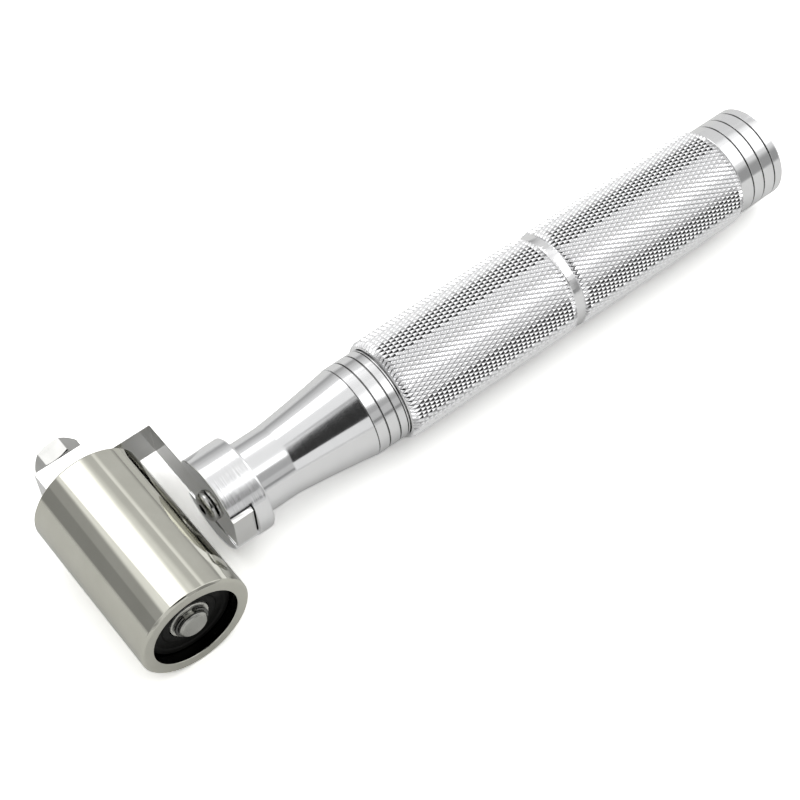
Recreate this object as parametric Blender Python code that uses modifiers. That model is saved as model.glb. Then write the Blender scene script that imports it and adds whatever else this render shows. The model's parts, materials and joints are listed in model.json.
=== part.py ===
"""Seam roller: a steel roller on two ball bearings, an L bracket and a knurled aluminium handle."""

import math

import bmesh
import bpy
from mathutils import Matrix, Vector

MM = 0.001

# Roller: its axis runs along Y, with the open end at Y = 0 and the bracket behind it.
ROLLER_RADIUS = 13.5
ROLLER_LENGTH = 43.0
ROLLER_EDGE = 0.4
MOUTH_RADIUS = 10.5
MOUTH_DEPTH = 3.45
MOUTH_EDGE = 0.2
SEAT_RADIUS = 9.65
SEAT_DEPTH = 9.8
CORE_RADIUS = 8.3

# Ball bearings, 7 x 19 x 6, one at each end of the roller.
BEARING_START = 3.6
BEARING_WIDTH = 6.0
INNER_RACE_RADII = (3.7, 5.3)
OUTER_RACE_RADII = (7.7, 9.5)
PITCH_RADIUS = 6.5
BALL_RADIUS = 1.6
RACEWAY_RADIUS = 1.75
RACEWAY_REACH = 1.25
BALL_COUNT = 7
CAGE_RADII = (6.1, 6.9)
CAGE_WIDTH = 5.0
POCKET_RADIUS = 1.85
SEAL_RADII = (5.0, 10.2)
SEAL_START = 2.7
SEAL_WIDTH = 0.6

# Axle and the small parts on it.
AXLE_RADIUS = 3.5
AXLE_START = 0.5
AXLE_EDGE = 0.5
AXLE_SHOULDER = 45.75
TAIL_RADIUS = 2.95
TAIL_EDGE = 0.5
TAIL_END = 57.6
CLIP_GROOVE = (1.45, 2.4)
CLIP_GROOVE_RADIUS = 3.05
CLIP_RADII = (3.2, 4.15)
CLIP_THICKNESS = 0.7
CLIP_START = 1.55
CLIP_OPENING = 3.1
WASHER_RADII = (3.7, 4.8)
WASHER_START = 2.5
WASHER_WIDTH = 0.85
SPACER_RADII = (3.75, 5.0)
REAR_SPACER_RADIUS = 4.8
GAP = 0.25
NUT_ACROSS_FLATS = 10.0
NUT_THICKNESS = 4.8
NUT_TURN = 12.0
NUT_BORE = 3.2
NUT_FACE_RADIUS = 4.85
NUT_CHAMFER = 30.0

# Bracket: a back plate across the roller's end and a side bar along the roller.
PLATE_INNER = 46.0
PLATE_OUTER = 51.4
PLATE_END = -7.4
BAR_INNER = 19.4
BAR_OUTER = 24.7
BAR_HEIGHT = 10.3
BAR_TIP = 13.3
BRACKET_EDGE = 0.2
AXLE_HOLE = 3.25
SCREW_HOLE = 2.25

# Handle: X measured along its axis from the roller's axis.
HANDLE_Y = 23.3
COLLAR_START = 19.2
COLLAR_RADIUS = 11.5
COLLAR_END = 28.9
SLOT_HEIGHT = 13.6
SLOT_FLOOR = 25.0
NECK_RADIUS = 8.75
FLARE_START = 37.7
FLARE_LEAN = 0.8
RING_RADIUS = 11.4
RING_STARTS = (57.6, 60.65, 63.65)
RING_STEP = 0.1
NECK_END = 66.2
GROOVE_DEPTH = 0.3
GROOVE_WIDTH = 0.45
SPIGOT_RADIUS = 9.0
SPIGOT_LENGTH = 12.0
SPIGOT_EDGE = 0.5
TAPPED_RADIUS = 2.25
TAPPED_END = 45.0
RELIEF_RADIUS = 4.25
GRIP_RADIUS = 12.7
GRIP_START = 66.5
GRIP_END = 167.7
GRIP_BORE = 9.3
GRIP_EDGE = 0.5
BAND = (114.8, 117.6)
BAND_RADIUS = 12.25
CAP_START = 168.0
CAP_END = 181.2
CAP_RADIUS = 11.7
CAP_EDGE = 0.6
CAP_WALL = 3.0
CAP_GROOVES = (171.7, 175.05, 178.5)
CAP_BORE = 5.0

# Bracket screw: low round head with a hexagon socket.
SCREW_HEAD_RADIUS = 3.8
SCREW_HEAD_HEIGHT = 1.9
SCREW_SHANK_RADIUS = 1.95
SCREW_TIP = 41.0
SCREW_EDGE = 0.5
SOCKET_ACROSS_FLATS = 2.5
SOCKET_DEPTH = 1.3

# Sides of the round pieces.
SMALL_SIDES = 28
WIDE_SIDES = 48
HOLE_SIDES = 20
POCKET_SIDES = 12

# The tool rests on the roller and on the rear edge of the grip, so the handle dips a little.
TILT = math.asin((ROLLER_RADIUS - GRIP_RADIUS) / GRIP_END)

for old in list(bpy.data.objects):
    bpy.data.objects.remove(old)

part = bpy.data.collections.new("seam_roller")
bpy.context.scene.collection.children.link(part)
cutters = bpy.data.collections.new("cutters")
bpy.context.scene.collection.children.link(cutters)


def material(name, colour, metallic, roughness):
    made = bpy.data.materials.new(name)
    made.use_nodes = True
    shader = made.node_tree.nodes["Principled BSDF"]
    shader.inputs["Base Color"].default_value = (*colour, 1.0)
    shader.inputs["Metallic"].default_value = metallic
    shader.inputs["Roughness"].default_value = roughness
    return made


def finish(name, mesh, finish_material, parent, place=(0.0, 0.0, 0.0)):
    """Adds a named piece to the collection, placed in millimetres from its parent."""
    mesh.materials.append(finish_material)
    piece = bpy.data.objects.new(name, mesh)
    part.objects.link(piece)
    piece.parent = parent
    piece.location = Vector(place) * MM
    return piece


def cut(piece, cutter):
    """Takes the cutter's shape out of a piece, and puts the cutter away."""
    modifier = piece.modifiers.new("cut", "BOOLEAN")
    modifier.operation = "DIFFERENCE"
    modifier.solver = "EXACT"
    modifier.object = cutter
    part.objects.unlink(cutter)
    cutters.objects.link(cutter)
    cutter.hide_render = True
    cutter.display_type = "WIRE"


def turned(name, profile, axis, finish_material, parent, place=(0.0, 0.0, 0.0), sides=SMALL_SIDES):
    """A piece turned around the X or Y axis from (radius, station) points.

    The points run outwards at the low end, along the outside and inwards at the high end. A profile
    that starts on the axis makes a solid piece, and any other is closed into a ring.
    """
    mesh = bpy.data.meshes.new(name)
    bm = bmesh.new()
    corners = []
    for radius, station in profile:
        point = (station, radius, 0.0) if axis == "X" else (radius, station, 0.0)
        corners.append(bm.verts.new(Vector(point) * MM))
    for first, second in zip(corners, corners[1:]):
        bm.edges.new((first, second))
    if profile[0][0] > 0.0:
        bm.edges.new((corners[-1], corners[0]))
    bm.to_mesh(mesh)
    bm.free()
    piece = finish(name, mesh, finish_material, parent, place)
    screw = piece.modifiers.new("turn", "SCREW")
    screw.axis = axis
    screw.steps = sides
    screw.render_steps = sides
    screw.use_merge_vertices = True
    screw.merge_threshold = 1e-5
    screw.use_normal_flip = True
    screw.use_smooth_shade = True
    return piece


def ring(inner, outer, start, end, edge=0.0):
    """The profile of a plain ring, with its outer edges broken."""
    if edge == 0.0:
        return [(inner, start), (outer, start), (outer, end), (inner, end)]
    return [
        (inner, start),
        (outer - edge, start),
        (outer, start + edge),
        (outer, end - edge),
        (outer - edge, end),
        (inner, end),
    ]


def rod(name, radius, start, end, axis, finish_material, parent, place=(0.0, 0.0, 0.0), sides=HOLE_SIDES):
    """A solid round bar along X or Y; six sides make a hexagon bar."""
    mesh = bpy.data.meshes.new(name)
    bm = bmesh.new()
    length = (end - start) * MM
    bmesh.ops.create_cone(
        bm, cap_ends=True, segments=sides, radius1=radius * MM, radius2=radius * MM, depth=length
    )
    if axis == "X":
        turn = Matrix.Rotation(math.pi / 2, 4, "Y")
        middle = Vector((0.5 * (start + end) * MM, 0.0, 0.0))
    else:
        turn = Matrix.Rotation(-math.pi / 2, 4, "X")
        middle = Vector((0.0, 0.5 * (start + end) * MM, 0.0))
    bmesh.ops.transform(bm, matrix=Matrix.Translation(middle) @ turn, verts=bm.verts)
    bm.to_mesh(mesh)
    bm.free()
    mesh.shade_smooth()
    mesh.set_sharp_from_angle(angle=math.radians(40.0))
    return finish(name, mesh, finish_material, parent, place)


def block(name, low, high, finish_material, parent, place=(0.0, 0.0, 0.0)):
    mesh = bpy.data.meshes.new(name)
    bm = bmesh.new()
    bmesh.ops.create_cube(bm, size=1.0)
    for vert in bm.verts:
        for axis in range(3):
            vert.co[axis] = (low[axis] if vert.co[axis] < 0.0 else high[axis]) * MM
    bm.to_mesh(mesh)
    bm.free()
    return finish(name, mesh, finish_material, parent, place)


def make_roller(parent):
    """The tube: a recessed mouth, a bearing seat and a smaller core, the same from both ends."""
    low_half = [
        (CORE_RADIUS, SEAT_DEPTH),
        (SEAT_RADIUS, SEAT_DEPTH),
        (SEAT_RADIUS, MOUTH_DEPTH),
        (MOUTH_RADIUS, MOUTH_DEPTH),
        (MOUTH_RADIUS, MOUTH_EDGE),
        (MOUTH_RADIUS + MOUTH_EDGE, 0.0),
        (ROLLER_RADIUS - ROLLER_EDGE, 0.0),
        (ROLLER_RADIUS, ROLLER_EDGE),
    ]
    high_half = [(radius, ROLLER_LENGTH - station) for radius, station in reversed(low_half)]
    turned("roller_shell", low_half + high_half, "Y", ground_steel, parent, sides=WIDE_SIDES)


def raceway(centre, side, steps=4):
    """Points of a raceway groove from its low shoulder to its high one; side is -1 on the inner race."""
    reach = math.asin(RACEWAY_REACH / RACEWAY_RADIUS)
    points = []
    for step in range(steps + 1):
        angle = -reach + 2.0 * reach * step / steps
        radius = PITCH_RADIUS + side * RACEWAY_RADIUS * math.cos(angle)
        points.append((radius, centre + RACEWAY_RADIUS * math.sin(angle)))
    return points


def make_bearing(side, start, parent):
    end = start + BEARING_WIDTH
    centre = 0.5 * (start + end)
    low, high = INNER_RACE_RADII
    inner = [(low, start), (high, start), *raceway(centre, -1.0), (high, end), (low, end)]
    turned(f"{side}_inner_race", inner, "Y", race_steel, parent)
    low, high = OUTER_RACE_RADII
    outer = [(high, start), (high, end), (low, end), *reversed(raceway(centre, 1.0)), (low, start)]
    turned(f"{side}_outer_race", outer, "Y", race_steel, parent)
    make_balls_and_cage(side, centre, parent)


def make_balls_and_cage(side, centre, parent):
    ball_mesh = bpy.data.meshes.new(f"{side}_ball")
    bm = bmesh.new()
    bmesh.ops.create_uvsphere(bm, u_segments=8, v_segments=6, radius=BALL_RADIUS * MM)
    bm.to_mesh(ball_mesh)
    bm.free()
    ball_mesh.shade_smooth()
    ball_mesh.materials.append(ball_steel)
    low, high = CAGE_RADII
    profile = ring(low, high, centre - 0.5 * CAGE_WIDTH, centre + 0.5 * CAGE_WIDTH)
    cage = turned(f"{side}_cage", profile, "Y", cage_steel, parent)
    for index in range(BALL_COUNT):
        angle = 2.0 * math.pi * index / BALL_COUNT
        place = (PITCH_RADIUS * math.cos(angle), centre, PITCH_RADIUS * math.sin(angle))
        ball = bpy.data.objects.new(f"{side}_ball_{index + 1}", ball_mesh)
        part.objects.link(ball)
        ball.parent = parent
        ball.location = Vector(place) * MM
        name = f"{side}_pocket_{index + 1}"
        reach = high - low
        pocket = rod(name, POCKET_RADIUS, -reach, reach, "X", cage_steel, parent, place, POCKET_SIDES)
        pocket.rotation_euler = (0.0, -angle, 0.0)
        cut(cage, pocket)


def make_seals(parent):
    low, high = SEAL_RADII
    front = SEAL_START
    rear = ROLLER_LENGTH - SEAL_START - SEAL_WIDTH
    for side, start in (("front", front), ("rear", rear)):
        turned(f"{side}_dust_seal", ring(low, high, start, start + SEAL_WIDTH), "Y", seal_rubber, parent)


def make_axle(parent):
    groove_start, groove_end = CLIP_GROOVE
    profile = [
        (0.0, AXLE_START),
        (AXLE_RADIUS - AXLE_EDGE, AXLE_START),
        (AXLE_RADIUS, AXLE_START + AXLE_EDGE),
        (AXLE_RADIUS, groove_start),
        (CLIP_GROOVE_RADIUS, groove_start),
        (CLIP_GROOVE_RADIUS, groove_end),
        (AXLE_RADIUS, groove_end),
        (AXLE_RADIUS, AXLE_SHOULDER),
        (TAIL_RADIUS, AXLE_SHOULDER),
        (TAIL_RADIUS, TAIL_END - TAIL_EDGE),
        (TAIL_RADIUS - TAIL_EDGE, TAIL_END),
        (0.0, TAIL_END),
    ]
    turned("axle", profile, "Y", axle_steel, parent)


def make_circlip(parent):
    """A snap ring with an opening at the top."""
    low, high = CLIP_RADII
    end = CLIP_START + CLIP_THICKNESS
    circlip = turned("circlip", ring(low, high, CLIP_START, end), "Y", clip_steel, parent)
    half = 0.5 * CLIP_OPENING
    opening = block(
        "circlip_opening", (-half, CLIP_START - 1.0, 0.0), (half, end + 1.0, 2.0 * high), clip_steel, parent
    )
    cut(circlip, opening)


def make_axle_stack(parent):
    """The washer, the sleeve between the inner races and the bush against the bracket."""
    low, high = WASHER_RADII
    washer = ring(low, high, WASHER_START, WASHER_START + WASHER_WIDTH, 0.15)
    turned("front_washer", washer, "Y", axle_steel, parent)
    low, high = SPACER_RADII
    start = BEARING_START + BEARING_WIDTH + GAP
    turned("race_spacer", ring(low, high, start, ROLLER_LENGTH - start), "Y", axle_steel, parent)
    start = ROLLER_LENGTH - BEARING_START + GAP
    bush = ring(low, REAR_SPACER_RADIUS, start, PLATE_INNER - GAP, 0.2)
    turned("rear_spacer", bush, "Y", axle_steel, parent)


def make_nut(parent):
    """A hexagon nut with both faces chamfered by cones."""
    start = PLATE_OUTER + GAP
    end = start + NUT_THICKNESS
    corner = NUT_ACROSS_FLATS / math.sqrt(3.0)
    nut = rod("axle_nut", corner, start, end, "Y", nut_steel, parent, sides=6)
    nut.data.transform(Matrix.Rotation(math.radians(-NUT_TURN), 4, "Y"))
    clear = corner + 0.5
    drop = (clear - NUT_FACE_RADIUS) * math.tan(math.radians(NUT_CHAMFER))
    for name, face, inward in (("nut_front_chamfer", start, 1.0), ("nut_back_chamfer", end, -1.0)):
        profile = [
            (NUT_FACE_RADIUS, face),
            (NUT_FACE_RADIUS, face - inward),
            (clear, face - inward),
            (clear, face + inward * drop),
        ]
        if inward < 0.0:
            profile.reverse()
        cut(nut, turned(name, profile, "Y", nut_steel, parent))
    cut(nut, rod("nut_bore", NUT_BORE, start - 1.0, end + 1.0, "Y", nut_steel, parent))


def make_bracket(parent):
    """The L seen from above, raised to the bar's height, with its axle and screw holes."""
    outline = [
        (PLATE_END, PLATE_INNER),
        (BAR_INNER, PLATE_INNER),
        (BAR_INNER, BAR_TIP),
        (BAR_OUTER, BAR_TIP),
        (BAR_OUTER, PLATE_OUTER),
        (PLATE_END, PLATE_OUTER),
    ]
    mesh = bpy.data.meshes.new("bracket")
    bm = bmesh.new()
    corners = [bm.verts.new(Vector((x, y, -0.5 * BAR_HEIGHT)) * MM) for x, y in outline]
    face = bm.faces.new(corners)
    raised = bmesh.ops.extrude_face_region(bm, geom=[face])
    moved = [item for item in raised["geom"] if isinstance(item, bmesh.types.BMVert)]
    bmesh.ops.translate(bm, vec=(0.0, 0.0, BAR_HEIGHT * MM), verts=moved)
    bmesh.ops.recalc_face_normals(bm, faces=bm.faces)
    bm.to_mesh(mesh)
    bm.free()
    bracket = finish("bracket", mesh, bracket_steel, parent)
    edge = bracket.modifiers.new("broken_edges", "BEVEL")
    edge.width = BRACKET_EDGE * MM
    edge.segments = 1
    start = PLATE_INNER - 1.0
    end = PLATE_OUTER + 1.0
    cut(bracket, rod("axle_hole", AXLE_HOLE, start, end, "Y", bracket_steel, parent))
    start = BAR_INNER - 1.0
    end = BAR_OUTER + 1.0
    place = (0.0, HANDLE_Y, 0.0)
    cut(bracket, rod("screw_hole", SCREW_HOLE, start, end, "X", bracket_steel, parent, place))


def make_screw(parent):
    head = BAR_INNER - GAP
    face = head - SCREW_HEAD_HEIGHT
    profile = [
        (0.0, face),
        (SCREW_HEAD_RADIUS - 1.3, face),
        (SCREW_HEAD_RADIUS - 0.5, face + 0.45),
        (SCREW_HEAD_RADIUS, face + 1.2),
        (SCREW_HEAD_RADIUS, head),
        (SCREW_SHANK_RADIUS, head),
        (SCREW_SHANK_RADIUS, SCREW_TIP - SCREW_EDGE),
        (SCREW_SHANK_RADIUS - SCREW_EDGE, SCREW_TIP),
        (0.0, SCREW_TIP),
    ]
    place = (0.0, HANDLE_Y, 0.0)
    screw = turned("bracket_screw", profile, "X", screw_steel, parent, place)
    corner = SOCKET_ACROSS_FLATS / math.sqrt(3.0)
    floor = face + SOCKET_DEPTH
    cut(screw, rod("screw_socket", corner, face - 1.0, floor, "X", screw_steel, parent, place, sides=6))


def v_groove(station, radius):
    half = 0.5 * GROOVE_WIDTH
    return [(radius, station - half), (radius - GROOVE_DEPTH, station), (radius, station + half)]


def neck_flare(steps=8):
    """The straight neck and the concave flare that swells to the first ring."""
    end = RING_STARTS[0]
    rise = RING_RADIUS - RING_STEP - NECK_RADIUS
    points = [(NECK_RADIUS, COLLAR_END)]
    for step in range(steps + 1):
        share = step / steps
        swell = FLARE_LEAN * share + (1.0 - FLARE_LEAN) * share * share
        points.append((NECK_RADIUS + rise * swell, FLARE_START + (end - FLARE_START) * share))
    return points


def make_neck(parent):
    front, middle, rear = RING_STARTS
    spigot_end = NECK_END + SPIGOT_LENGTH
    profile = [
        (TAPPED_RADIUS, COLLAR_START),
        (COLLAR_RADIUS - 0.2, COLLAR_START),
        (COLLAR_RADIUS, COLLAR_START + 0.2),
        (COLLAR_RADIUS, COLLAR_END - 0.5),
        (COLLAR_RADIUS - 0.5, COLLAR_END),
        *neck_flare(),
        (RING_RADIUS, front + RING_STEP),
        *v_groove(middle, RING_RADIUS),
        *v_groove(rear, RING_RADIUS),
        (RING_RADIUS, NECK_END),
        (SPIGOT_RADIUS, NECK_END),
        (SPIGOT_RADIUS, spigot_end - SPIGOT_EDGE),
        (SPIGOT_RADIUS - SPIGOT_EDGE, spigot_end),
        (RELIEF_RADIUS, spigot_end),
        (RELIEF_RADIUS, TAPPED_END),
        (TAPPED_RADIUS, TAPPED_END),
    ]
    place = (0.0, HANDLE_Y, 0.0)
    neck = turned("handle_neck", profile, "X", turned_aluminium, parent, place, WIDE_SIDES)
    half = 0.5 * SLOT_HEIGHT
    across = COLLAR_RADIUS + 2.0
    low = (COLLAR_START - 2.0, -across, -half)
    cut(neck, block("collar_slot", low, (SLOT_FLOOR, across, half), turned_aluminium, parent, place))


def make_grip(parent):
    band_start, band_end = BAND
    profile = [
        (GRIP_BORE, GRIP_START),
        (GRIP_RADIUS - GRIP_EDGE, GRIP_START),
        (GRIP_RADIUS, GRIP_START + GRIP_EDGE),
        (GRIP_RADIUS, band_start),
        (BAND_RADIUS, band_start + 0.3),
        (BAND_RADIUS, band_end),
        (GRIP_RADIUS, band_end),
        (GRIP_RADIUS, GRIP_END - GRIP_EDGE),
        (GRIP_RADIUS - GRIP_EDGE, GRIP_END),
        (GRIP_BORE, GRIP_END),
    ]
    turned("grip_tube", profile, "X", knurled_aluminium, parent, (0.0, HANDLE_Y, 0.0), WIDE_SIDES)


def make_cap(parent):
    grooves = []
    for station in CAP_GROOVES:
        grooves.extend(v_groove(station, CAP_RADIUS))
    spigot = CAP_START - SPIGOT_LENGTH
    profile = [
        (0.0, CAP_END - CAP_WALL),
        (CAP_BORE, CAP_END - CAP_WALL),
        (CAP_BORE, spigot),
        (SPIGOT_RADIUS - SPIGOT_EDGE, spigot),
        (SPIGOT_RADIUS, spigot + SPIGOT_EDGE),
        (SPIGOT_RADIUS, CAP_START),
        (CAP_RADIUS, CAP_START),
        *grooves,
        (CAP_RADIUS, CAP_END - CAP_EDGE),
        (CAP_RADIUS - CAP_EDGE, CAP_END),
        (0.0, CAP_END),
    ]
    turned("end_cap", profile, "X", turned_aluminium, parent, (0.0, HANDLE_Y, 0.0), WIDE_SIDES)


ground_steel = material("ground_steel", (0.60, 0.60, 0.56), 1.0, 0.14)
race_steel = material("race_steel", (0.62, 0.62, 0.61), 1.0, 0.2)
ball_steel = material("ball_steel", (0.72, 0.72, 0.72), 1.0, 0.08)
cage_steel = material("cage_steel", (0.45, 0.45, 0.44), 1.0, 0.35)
seal_rubber = material("seal_rubber", (0.02, 0.02, 0.018), 0.0, 0.55)
axle_steel = material("axle_steel", (0.50, 0.50, 0.47), 1.0, 0.3)
clip_steel = material("clip_steel", (0.06, 0.06, 0.06), 1.0, 0.35)
nut_steel = material("nut_steel", (0.70, 0.70, 0.69), 1.0, 0.25)
bracket_steel = material("bracket_steel", (0.80, 0.80, 0.79), 1.0, 0.32)
screw_steel = material("screw_steel", (0.35, 0.35, 0.35), 1.0, 0.25)
turned_aluminium = material("turned_aluminium", (0.87, 0.87, 0.88), 1.0, 0.18)
knurled_aluminium = material("knurled_aluminium", (0.87, 0.87, 0.88), 1.0, 0.28)

# World origin: middle of the bounding box seen from above, on the floor.
reach_x = CAP_END * math.cos(TILT) + CAP_RADIUS * math.sin(TILT)
tool = bpy.data.objects.new("tool", None)
part.objects.link(tool)
tool.location = Vector((0.5 * (ROLLER_RADIUS - reach_x), -0.5 * TAIL_END, ROLLER_RADIUS)) * MM
tool.rotation_euler = (0.0, TILT, 0.0)

make_roller(tool)
make_bearing("front", BEARING_START, tool)
make_bearing("rear", ROLLER_LENGTH - BEARING_START - BEARING_WIDTH, tool)
make_seals(tool)
make_axle(tool)
make_circlip(tool)
make_axle_stack(tool)
make_nut(tool)
make_bracket(tool)
make_screw(tool)
make_neck(tool)
make_grip(tool)
make_cap(tool)
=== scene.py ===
import json
import math

import bmesh
import bpy
from mathutils import Matrix, Vector


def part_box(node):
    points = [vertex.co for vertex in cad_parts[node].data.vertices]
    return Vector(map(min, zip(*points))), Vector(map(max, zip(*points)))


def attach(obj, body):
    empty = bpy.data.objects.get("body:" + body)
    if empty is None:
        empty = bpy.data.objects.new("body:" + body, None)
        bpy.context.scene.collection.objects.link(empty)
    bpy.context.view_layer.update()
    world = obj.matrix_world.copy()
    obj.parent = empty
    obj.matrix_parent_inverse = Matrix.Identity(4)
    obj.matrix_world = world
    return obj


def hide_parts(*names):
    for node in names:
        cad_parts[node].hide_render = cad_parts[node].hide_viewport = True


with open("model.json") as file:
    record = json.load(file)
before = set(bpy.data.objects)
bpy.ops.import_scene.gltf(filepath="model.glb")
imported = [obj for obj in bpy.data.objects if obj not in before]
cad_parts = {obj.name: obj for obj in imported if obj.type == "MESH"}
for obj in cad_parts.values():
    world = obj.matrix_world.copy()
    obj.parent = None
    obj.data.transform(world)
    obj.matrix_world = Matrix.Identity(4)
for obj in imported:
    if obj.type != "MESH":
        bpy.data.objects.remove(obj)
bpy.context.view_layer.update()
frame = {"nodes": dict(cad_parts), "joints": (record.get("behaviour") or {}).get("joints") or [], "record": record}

MM = 0.001

# ---------------------------------------------------------------- the tool's own axes
# Lengths below are in millimetres in the tool's axes: X runs along the handle from the roller's axis,
# Y along the roller from its open end to the bracket, and Z up from the middle plane.
spin = frame["joints"][0]
butt = frame["record"]["mounts"][0]
handle_axis = Vector(butt["axis"])
side_axis = Vector((0.0, 1.0, 0.0))
up_axis = handle_axis.cross(side_axis)
origin = Vector((spin["pos_m"][0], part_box("roller_shell")[0].y, spin["pos_m"][2]))
TOOL = Matrix.Translation(origin) @ Matrix((handle_axis, side_axis, up_axis)).transposed().to_4x4()
TOOL = TOOL @ Matrix.Scale(MM, 4)
HANDLE_Y = (butt["pos_m"][1] - origin.y) / MM

# ---------------------------------------------------------------- sizes
# The roller, and what shows in its open end.
ROLLER_RADIUS = 13.5
ROLLER_LENGTH = 43.0
ROLLER_CHAMFER = 0.5
MOUTH_RADIUS = 10.5
MOUTH_DEPTH = 3.45
SEAT_RADIUS = 9.65
SEAT_DEPTH = 9.8
CORE_RADIUS = 8.3
SEAL_RADII = (5.0, 10.2)
SEAL_START = 2.7
SEAL_END = 3.3
SEAL_DISH = (6.6, 9.1)
SEAL_DISH_DEPTH = 0.25
SEAL_DISH_SLOPE = 0.3
WASHER_RADII = (3.7, 4.8)
WASHER = (2.5, 3.35)
CLIP_RADII = (3.2, 4.15)
CLIP = (1.55, 2.25)
CLIP_OPENING = 50.0

# The axle and its threaded tail.
AXLE_RADIUS = 3.5
AXLE_CHAMFER = 0.5
AXLE_START = 0.5
CLIP_GROOVE = (1.45, 2.4)
CLIP_GROOVE_RADIUS = 3.05
AXLE_SHOULDER = 45.75
TAIL_RADIUS = 2.95
TAIL_END = 57.6
THREAD_PITCH = 1.0
THREAD_DEPTH = 0.5
THREAD_RUNOUT = 0.55
THREAD_STEPS = 12
THREAD_STEEPNESS = 1.25
TAIL_CHAMFER = (0.4, 0.35)

# The bracket: the plate beside the roller and the bar in front of the handle.
PLATE_INNER = 46.0
PLATE_OUTER = 51.4
PLATE_END = -7.4
BAR_INNER = 19.4
BAR_OUTER = 24.7
BAR_HEIGHT = 10.3
BAR_TIP = 13.3
BRACKET_EDGE = 0.13
TIP_SLOPE = (0.9, 0.5)
AXLE_HOLE = 3.25
SCREW_HOLE = 2.25

# The nut.
NUT_ACROSS_FLATS = 10.0
NUT_START = 51.65
NUT_END = 56.45
NUT_TURN = 12.0
NUT_BORE = 3.2
NUT_BORE_CHAMFER = 0.4
NUT_FACE_RADIUS = 4.85
NUT_EDGE = 0.12

# The handle from its slotted collar to its butt. A step or a groove is given by lengths and a depth, and
# RING_FLOORS by the depths below the rings between which the neck is a groove's floor, given painted shade.
COLLAR_START = 19.2
COLLAR_RADIUS = 11.5
COLLAR_END = 28.9
SLOT_HALF = 5.45
SLOT_MOUTH_HALF = 6.8
SLOT_MOUTH_DEPTH = 0.45
SLOT_FLOOR = 24.9
TAPPED_RADIUS = 2.25
NECK_RADIUS = 8.75
FLARE_START = 37.7
FLARE_LEAN = 0.8
FLARE_DROP = 0.12
RING_RADIUS = 11.4
RINGS = (57.6, 60.65, 63.65)
RING_STEP = (0.2, 0.3)
NECK_END = 66.2
NECK_GROOVE = (0.55, 0.25)
NECK_GROOVE_DEPTH = 0.35
NECK_STEP = (0.28, 0.5)
RING_FLOORS = (0.96, 0.26)
SPIGOT_RADIUS = 9.0
SPIGOT_LENGTH = 12.0
GRIP_RADIUS = 12.7
GRIP = (66.5, 167.7)
GRIP_BORE = 9.3
GRIP_LIP = 0.15
BAND = (114.8, 117.6)
BAND_RADIUS = 12.25
CAP = (168.0, 181.2)
CAP_RADIUS = 11.7
CAP_GROOVES = (171.7, 175.05, 178.5)
GROOVE_DEPTH = 0.36
GROOVE_WIDTH = 0.42

# The button screw. Its crown is given by distances from its face, drops from its radius, and cuts.
SCREW_HEAD_RADIUS = 3.8
SCREW_CROWN = ((0.0, 1.4, 0.5), (0.4, 0.4, 0.4), (1.0, 0.0, 0.3))
SCREW_FACE = 17.5
SCREW_SEAT = 19.15
SCREW_SHANK_RADIUS = 1.95
SCREW_TIP = 41.0
SOCKET_ACROSS_FLATS = 2.5
SOCKET_DEPTH = 1.3

# Knurling: diamonds of this length along the handle, this many around it. Each rises in steps, given as
# shares of its outline and of its height, and drops away towards the ends of a length.
KNURL_ROW = 2.5
KNURL_AROUND = 72
KNURL_DEPTH = 0.37
KNURL_STEPS = ((1.0, 0.0), (0.2, 0.95), (0.1, 1.0))
KNURL_END = 1.6
KNURL_FRONT_DROP = 0.5
KNURL_DROP = 0.22
KNURL_CREASE = 20.0

# How far a cutting shape reaches past what it cuts, how far the sides of the neck's narrow grooves lean,
# and how close to the floor of a groove a point counts as being in it and gets painted shade.
CLEAR = 1.0
SIDE = 0.05
NEAR = 0.1


# ---------------------------------------------------------------- mesh helpers
def add_piece(name, mesh, body, finish, stands_for, crease=38.0):
    """Adds a piece modelled in the tool's axes, riding on a body and standing for CAD nodes."""
    mesh.transform(TOOL)
    mesh.shade_smooth()
    mesh.set_sharp_from_angle(angle=math.radians(crease))
    mesh.materials.append(finish)
    piece = bpy.data.objects.new(name, mesh)
    bpy.context.scene.collection.objects.link(piece)
    even = piece.modifiers.new("even_normals", "WEIGHTED_NORMAL")
    even.keep_sharp = True
    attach(piece, body)
    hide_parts(*stands_for)
    return piece


def rounded(corners, steps=3):
    """(station, radius) points from (station, radius, cut) corners, each rounded back by its cut."""
    points = []
    count = len(corners)
    for index, (station, radius, cut) in enumerate(corners):
        here = Vector((station, radius))
        if cut == 0.0:
            points.append(here)
            continue
        before = Vector(corners[index - 1][:2]) - here
        after = Vector(corners[(index + 1) % count][:2]) - here
        start = here + before.normalized() * min(cut, 0.45 * before.length)
        end = here + after.normalized() * min(cut, 0.45 * after.length)
        for step in range(steps + 1):
            share = step / steps
            points.append(start * (1 - share) ** 2 + here * 2 * share * (1 - share) + end * share**2)
    return points


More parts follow.
